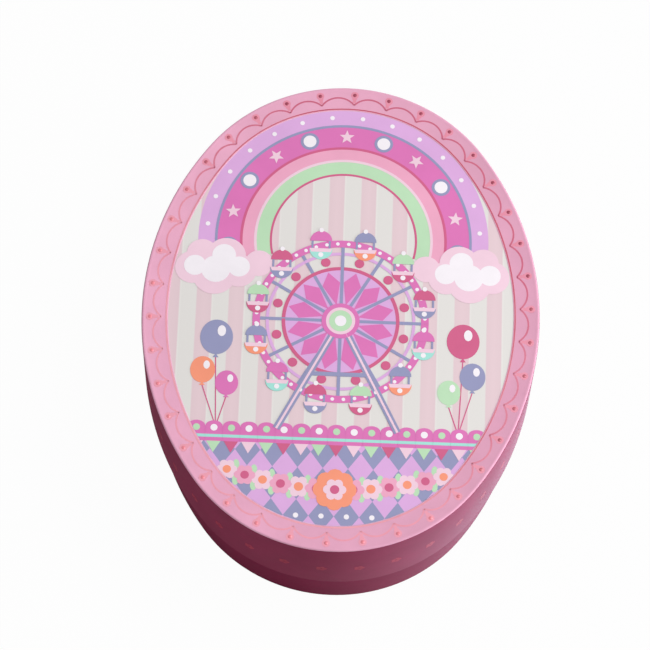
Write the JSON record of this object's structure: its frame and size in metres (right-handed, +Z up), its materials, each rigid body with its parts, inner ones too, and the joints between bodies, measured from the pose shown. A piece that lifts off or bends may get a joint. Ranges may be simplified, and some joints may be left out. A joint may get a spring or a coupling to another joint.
{
  "type": "carousel music box",
  "caption": "Oval keepsake music box: a lift-off lid over a shallow base with a wind-up movement, a turning carousel and two trinket wells.",
  "frame": {"origin": "on the ground under the middle of the closed box", "axes": "+Z up, +Y along the long way of the oval from the front to the back, +X along the short way to the right"},
  "size_m": [0.18, 0.228, 0.072],
  "materials": {
    "print_rose": "satin laminated printed paper",
    "print_pink": "satin laminated printed paper",
    "print_picture": "satin laminated printed paper",
    "board_pink": "matte lining paper on board",
    "board_dark": "matte paper on board",
    "velvet": "flocked velvet",
    "moulding_dark": "moulded plastic",
    "zinc_casting": "bright cast zinc",
    "steel": "polished",
    "screw_steel": "zinc plated",
    "spring_steel": "blued",
    "brass": "polished",
    "key_brass": "polished",
    "nylon": "natural nylon",
    "knob_pink": "glossy",
    "table_magenta": "glossy",
    "column_lilac": "glossy",
    "canopy_pink": "glossy",
    "valance_blue": "glossy",
    "finial_mint": "glossy",
    "pole_gold": "gold lacquer",
    "horse_ivory": "glossy"
  },
  "bodies": {
    "base": {"base_wall": "print_rose", "base_floor": "board_dark", "deck_ledge": "board_dark", "deck": "velvet", "trinket_pad_front": "velvet", "trinket_pad_back": "velvet", "shaft_bush": "brass", "key_well": "moulding_dark", "movement_standoffs": "zinc_casting", "bedplate": "zinc_casting", "movement_screws": "screw_steel", "cylinder_bracket": "zinc_casting", "music_comb": "steel", "comb_screws": "screw_steel", "governor_frame": "zinc_casting", "clutch_spring": "spring_steel", "lever_post": "steel"},
    "lid": {"lid_skirt": "print_rose", "lid_top_board": "board_pink", "lid_border_frame": "print_pink", "picture_panel": "print_picture", "lid_inner_band": "board_pink", "lid_lining": "board_pink"},
    "carousel": {"spring_barrel": "brass", "barrel_cover": "brass", "mainspring": "spring_steel", "output_shaft": "steel", "turntable": "table_magenta", "centre_column": "column_lilac", "canopy_roof": "canopy_pink", "canopy_valance": "valance_blue", "canopy_finial": "finial_mint", "horse_poles": "pole_gold", "horse_1": "horse_ivory", "horse_2": "horse_ivory", "horse_3": "horse_ivory", "horse_4": "horse_ivory", "horse_5": "horse_ivory", "horse_6": "horse_ivory"},
    "winder": {"winding_key": "key_brass", "winding_arbor": "steel"},
    "cylinder": {"music_cylinder": "brass", "cylinder_arbor": "steel", "cylinder_pinion": "brass", "cylinder_wheel": "brass"},
    "governor": {"governor_arbor": "steel", "governor_pinion": "brass", "worm_wheel": "nylon"},
    "fly": {"worm_shaft": "steel", "worm": "steel", "air_brake": "nylon"},
    "stop": {"stop_lever": "steel", "stop_knob": "knob_pink"}
  },
  "joints": [
    {"name": "lid_lift", "type": "slide", "parent": "base", "child": "lid", "axis": [0, 0, 1], "range_m": [0, 0.08]},
    {"name": "carousel_spin", "type": "hinge", "parent": "base", "child": "carousel", "pos_m": [0, 0, 0], "axis": [0, 0, 1], "continuous": true},
    {"name": "key_wind", "type": "hinge", "parent": "base", "child": "winder", "pos_m": [0, 0, 0], "axis": [0, 0, 1], "continuous": true},
    {"name": "cylinder_spin", "type": "hinge", "parent": "base", "child": "cylinder", "pos_m": [0, 0, 0.0277], "axis": [0, 1, 0], "continuous": true},
    {"name": "governor_spin", "type": "hinge", "parent": "base", "child": "governor", "pos_m": [-0.00693, 0, 0.0237], "axis": [0, 1, 0], "continuous": true},
    {"name": "fly_spin", "type": "hinge", "parent": "base", "child": "fly", "pos_m": [-0.01303, 0.0428, 0], "axis": [0, 0, 1], "continuous": true},
    {"name": "stop_swing", "type": "hinge", "parent": "base", "child": "stop", "pos_m": [-0.018, 0.026, 0], "axis": [0, 0, -1], "range_deg": [0, 5.8]}
  ],
  "couplings": [
    {"joint": "cylinder_spin", "follows": "carousel_spin", "ratio": 3},
    {"joint": "governor_spin", "follows": "carousel_spin", "ratio": -12},
    {"joint": "fly_spin", "follows": "carousel_spin", "ratio": 144}
  ]
}
